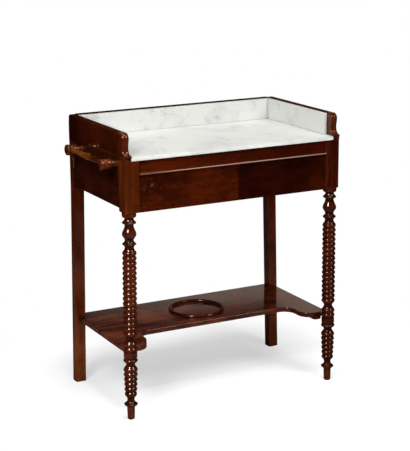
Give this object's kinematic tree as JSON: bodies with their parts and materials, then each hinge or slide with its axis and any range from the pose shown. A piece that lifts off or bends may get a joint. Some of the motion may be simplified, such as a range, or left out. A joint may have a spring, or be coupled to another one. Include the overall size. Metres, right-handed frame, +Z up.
{
  "type": "washstand",
  "caption": "Wooden washstand with a marble top and splashes in a low gallery, a drawer, a jug shelf, bobbin-turned front legs and a towel rail",
  "frame": {"origin": "bottom centre of the whole object's box, on the floor", "axes": "+Z up, the drawer and the open front face -Y, +X to the right as seen from the front"},
  "size_m": [0.869, 0.46, 0.956],
  "materials": {
    "mahogany": "dark red-brown, french polished",
    "dark_mahogany": "very dark red-brown, french polished",
    "figured_veneer": "figured veneer, french polished",
    "shelf_mahogany": "red-brown, worn polish",
    "rail_mahogany": "lighter golden brown, polished",
    "carcase_pine": "bare aged softwood",
    "drawer_lining": "bare planed hardwood",
    "marble": "polished white stone with soft grey veins"
  },
  "bodies": {
    "carcase": {"left_front_leg": "mahogany", "right_front_leg": "mahogany", "left_back_leg": "mahogany", "right_back_leg": "mahogany", "left_side_panel": "dark_mahogany", "right_side_panel": "dark_mahogany", "back_panel": "carcase_pine", "top_rail": "mahogany", "lip_moulding": "mahogany", "front_bearer": "carcase_pine", "left_runner": "carcase_pine", "right_runner": "carcase_pine", "left_guide": "carcase_pine", "right_guide": "carcase_pine", "left_kicker": "carcase_pine", "right_kicker": "carcase_pine", "slab_bearer": "carcase_pine", "corner_blocks": "carcase_pine", "drawer_stops": "carcase_pine", "marble_slab": "marble", "marble_back_splash": "marble", "marble_left_splash": "marble", "marble_right_splash": "marble", "gallery_back": "mahogany", "gallery_left": "mahogany", "gallery_right": "mahogany", "gallery_dowels": "carcase_pine", "undershelf": "shelf_mahogany", "left_ear_block": "shelf_mahogany", "right_ear_block": "shelf_mahogany", "shelf_dowels": "carcase_pine", "jug_ring": "mahogany", "towel_front_arm": "mahogany", "towel_back_arm": "mahogany", "towel_bar": "rail_mahogany"},
    "drawer": {"drawer_front": "figured_veneer", "drawer_left_side": "drawer_lining", "drawer_right_side": "drawer_lining", "drawer_back": "drawer_lining", "drawer_bottom": "drawer_lining"}
  },
  "joints": [
    {"name": "drawer_slide", "type": "slide", "parent": "carcase", "child": "drawer", "axis": [0, -1, 0], "range_m": [0, 0.29]}
  ]
}
